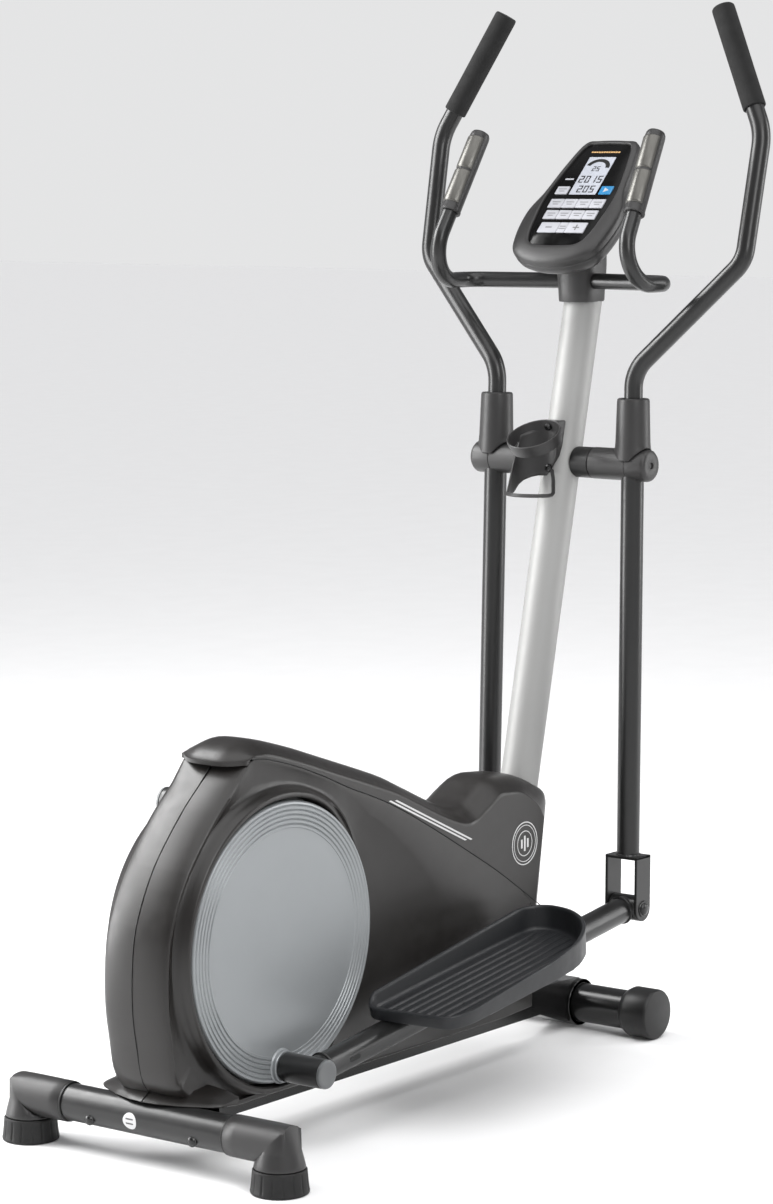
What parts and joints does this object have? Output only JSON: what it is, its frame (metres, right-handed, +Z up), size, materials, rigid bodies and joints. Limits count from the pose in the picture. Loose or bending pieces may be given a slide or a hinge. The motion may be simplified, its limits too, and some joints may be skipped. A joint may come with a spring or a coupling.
{
  "type": "elliptical trainer",
  "caption": "Rear-drive elliptical trainer with swinging hand levers, sliding pedals, a round crank disc each side, console, pulse grips and a bottle holder on a leaning mast.",
  "frame": {"origin": "middle of the bounding box at floor level", "axes": "+X forward towards the mast, +Y to the left of the user, +Z up"},
  "size_m": [1.2106, 0.6444, 1.6285],
  "materials": {
    "black_steel": "satin",
    "dark_steel": "satin",
    "shroud": "fine texture",
    "steel": "zinc plated",
    "plastic": "fine texture",
    "silver_paint": "satin",
    "black_plastic": "satin",
    "cast_iron": "turned",
    "rubber": "matte",
    "overlay": "printed film",
    "lcd": "clear window",
    "white_key": "soft touch",
    "blue_key": "gloss",
    "contact": "satin",
    "disc": "silver paint",
    "foam": "soft foam",
    "pedal": "fine texture"
  },
  "bodies": {
    "frame": {"base_frame": "black_steel", "rear_stabilizer": "dark_steel", "front_stabilizer": "black_steel", "top_shield": "shroud", "pivot_axle": "steel", "bottle_holder": "plastic", "console_neck": "plastic", "pulse_bar": "dark_steel", "mast": "silver_paint", "drive_belt": "rubber", "console_bezel": "plastic", "console_back": "plastic", "console_overlay": "overlay", "lcd_module": "lcd", "rear_end_cap_left": "plastic", "rear_end_cap_right": "plastic", "front_end_cap_left": "black_plastic", "front_end_cap_right": "black_plastic", "pivot_tube_left": "black_steel", "pivot_tube_right": "black_steel", "side_shield_left": "shroud", "side_shield_right": "shroud", "pulse_grip_left": "plastic", "pulse_grip_right": "plastic", "pulse_contact_lower_left": "contact", "pulse_contact_lower_right": "contact", "pulse_contact_upper_left": "contact", "pulse_contact_upper_right": "contact"},
    "crank": {"crankshaft": "steel", "drive_pulley": "black_plastic", "crank_disc_left": "disc", "crank_disc_right": "disc"},
    "flywheel": {"flywheel": "cast_iron"},
    "brake": {"brake_magnet": "steel"},
    "lever_left": {"lever_left": "dark_steel", "pivot_cap_left": "plastic", "handle_sleeve_left": "plastic", "handle_left": "dark_steel", "foam_grip_left": "foam", "fork_bolt_left": "steel"},
    "arm_left": {"pedal_arm_left": "dark_steel", "crank_pin_left": "steel", "pedal_left": "pedal"},
    "foot_left": {"levelling_foot_left": "rubber"},
    "lever_right": {"lever_right": "dark_steel", "pivot_cap_right": "plastic", "handle_sleeve_right": "plastic", "handle_right": "dark_steel", "foam_grip_right": "foam", "fork_bolt_right": "steel"},
    "arm_right": {"pedal_arm_right": "dark_steel", "crank_pin_right": "steel", "pedal_right": "pedal"},
    "foot_right": {"levelling_foot_right": "rubber"},
    "key_minus": {"key_minus": "white_key"},
    "key_plus": {"key_plus": "white_key"},
    "program_keys_lower": {"program_keys_lower": "white_key"},
    "program_keys_upper": {"program_keys_upper": "white_key"},
    "key_select": {"key_select": "white_key"},
    "key_start": {"key_start": "blue_key"}
  },
  "joints": [
    {"name": "crank_spin", "type": "hinge", "parent": "frame", "child": "crank", "pos_m": [-0.3563, 0, 0.288], "axis": [0, 1, 0], "continuous": true},
    {"name": "flywheel_spin", "type": "hinge", "parent": "frame", "child": "flywheel", "pos_m": [-0.0263, 0, 0.25], "axis": [0, 1, 0], "continuous": true},
    {"name": "brake_swing", "type": "hinge", "parent": "frame", "child": "brake", "pos_m": [0.02053, 0, 0.3659], "axis": [0, -1, 0], "range_deg": [0, 12]},
    {"name": "lever_right_swing", "type": "hinge", "parent": "frame", "child": "lever_right", "pos_m": [0.4457, 0, 0.913], "axis": [0, 1, 0], "range_deg": [-13, 15]},
    {"name": "lever_left_swing", "type": "hinge", "parent": "frame", "child": "lever_left", "pos_m": [0.4457, 0, 0.913], "axis": [0, 1, 0], "range_deg": [-15, 13]},
    {"name": "arm_right_pivot", "type": "hinge", "parent": "lever_right", "child": "arm_right", "pos_m": [0.43742, 0, 0.21175], "axis": [0, 1, 0], "range_deg": [-15, 13]},
    {"name": "arm_left_pivot", "type": "hinge", "parent": "lever_left", "child": "arm_left", "pos_m": [0.42295, 0, 0.21207], "axis": [0, 1, 0], "range_deg": [-13, 15]},
    {"name": "foot_left_screw", "type": "hinge", "parent": "frame", "child": "foot_left", "pos_m": [-0.5643, 0.2286, 0.02], "axis": [0, 0, 1], "continuous": true},
    {"name": "foot_right_screw", "type": "hinge", "parent": "frame", "child": "foot_right", "pos_m": [-0.5643, -0.2286, 0.02], "axis": [0, 0, 1], "continuous": true},
    {"name": "key_minus_press", "type": "slide", "parent": "frame", "child": "key_minus", "axis": [0.694, 0, -0.7199], "range_m": [0, 0.001], "stiffness_N_per_m": 600},
    {"name": "key_plus_press", "type": "slide", "parent": "frame", "child": "key_plus", "axis": [0.694, 0, -0.7199], "range_m": [0, 0.001], "stiffness_N_per_m": 600},
    {"name": "program_keys_lower_press", "type": "slide", "parent": "frame", "child": "program_keys_lower", "axis": [0.694, 0, -0.7199], "range_m": [0, 0.001], "stiffness_N_per_m": 600},
    {"name": "program_keys_upper_press", "type": "slide", "parent": "frame", "child": "program_keys_upper", "axis": [0.694, 0, -0.7199], "range_m": [0, 0.001], "stiffness_N_per_m": 600},
    {"name": "key_select_press", "type": "slide", "parent": "frame", "child": "key_select", "axis": [0.694, 0, -0.7199], "range_m": [0, 0.001], "stiffness_N_per_m": 600},
    {"name": "key_start_press", "type": "slide", "parent": "frame", "child": "key_start", "axis": [0.694, 0, -0.7199], "range_m": [0, 0.001], "stiffness_N_per_m": 600}
  ],
  "couplings": [
    {"joint": "flywheel_spin", "follows": "crank_spin", "ratio": 6.3636},
    {"joint": "lever_left_swing", "follows": "lever_right_swing", "ratio": -1},
    {"joint": "arm_right_pivot", "follows": "lever_right_swing", "ratio": -1},
    {"joint": "arm_left_pivot", "follows": "lever_right_swing", "ratio": 1}
  ]
}
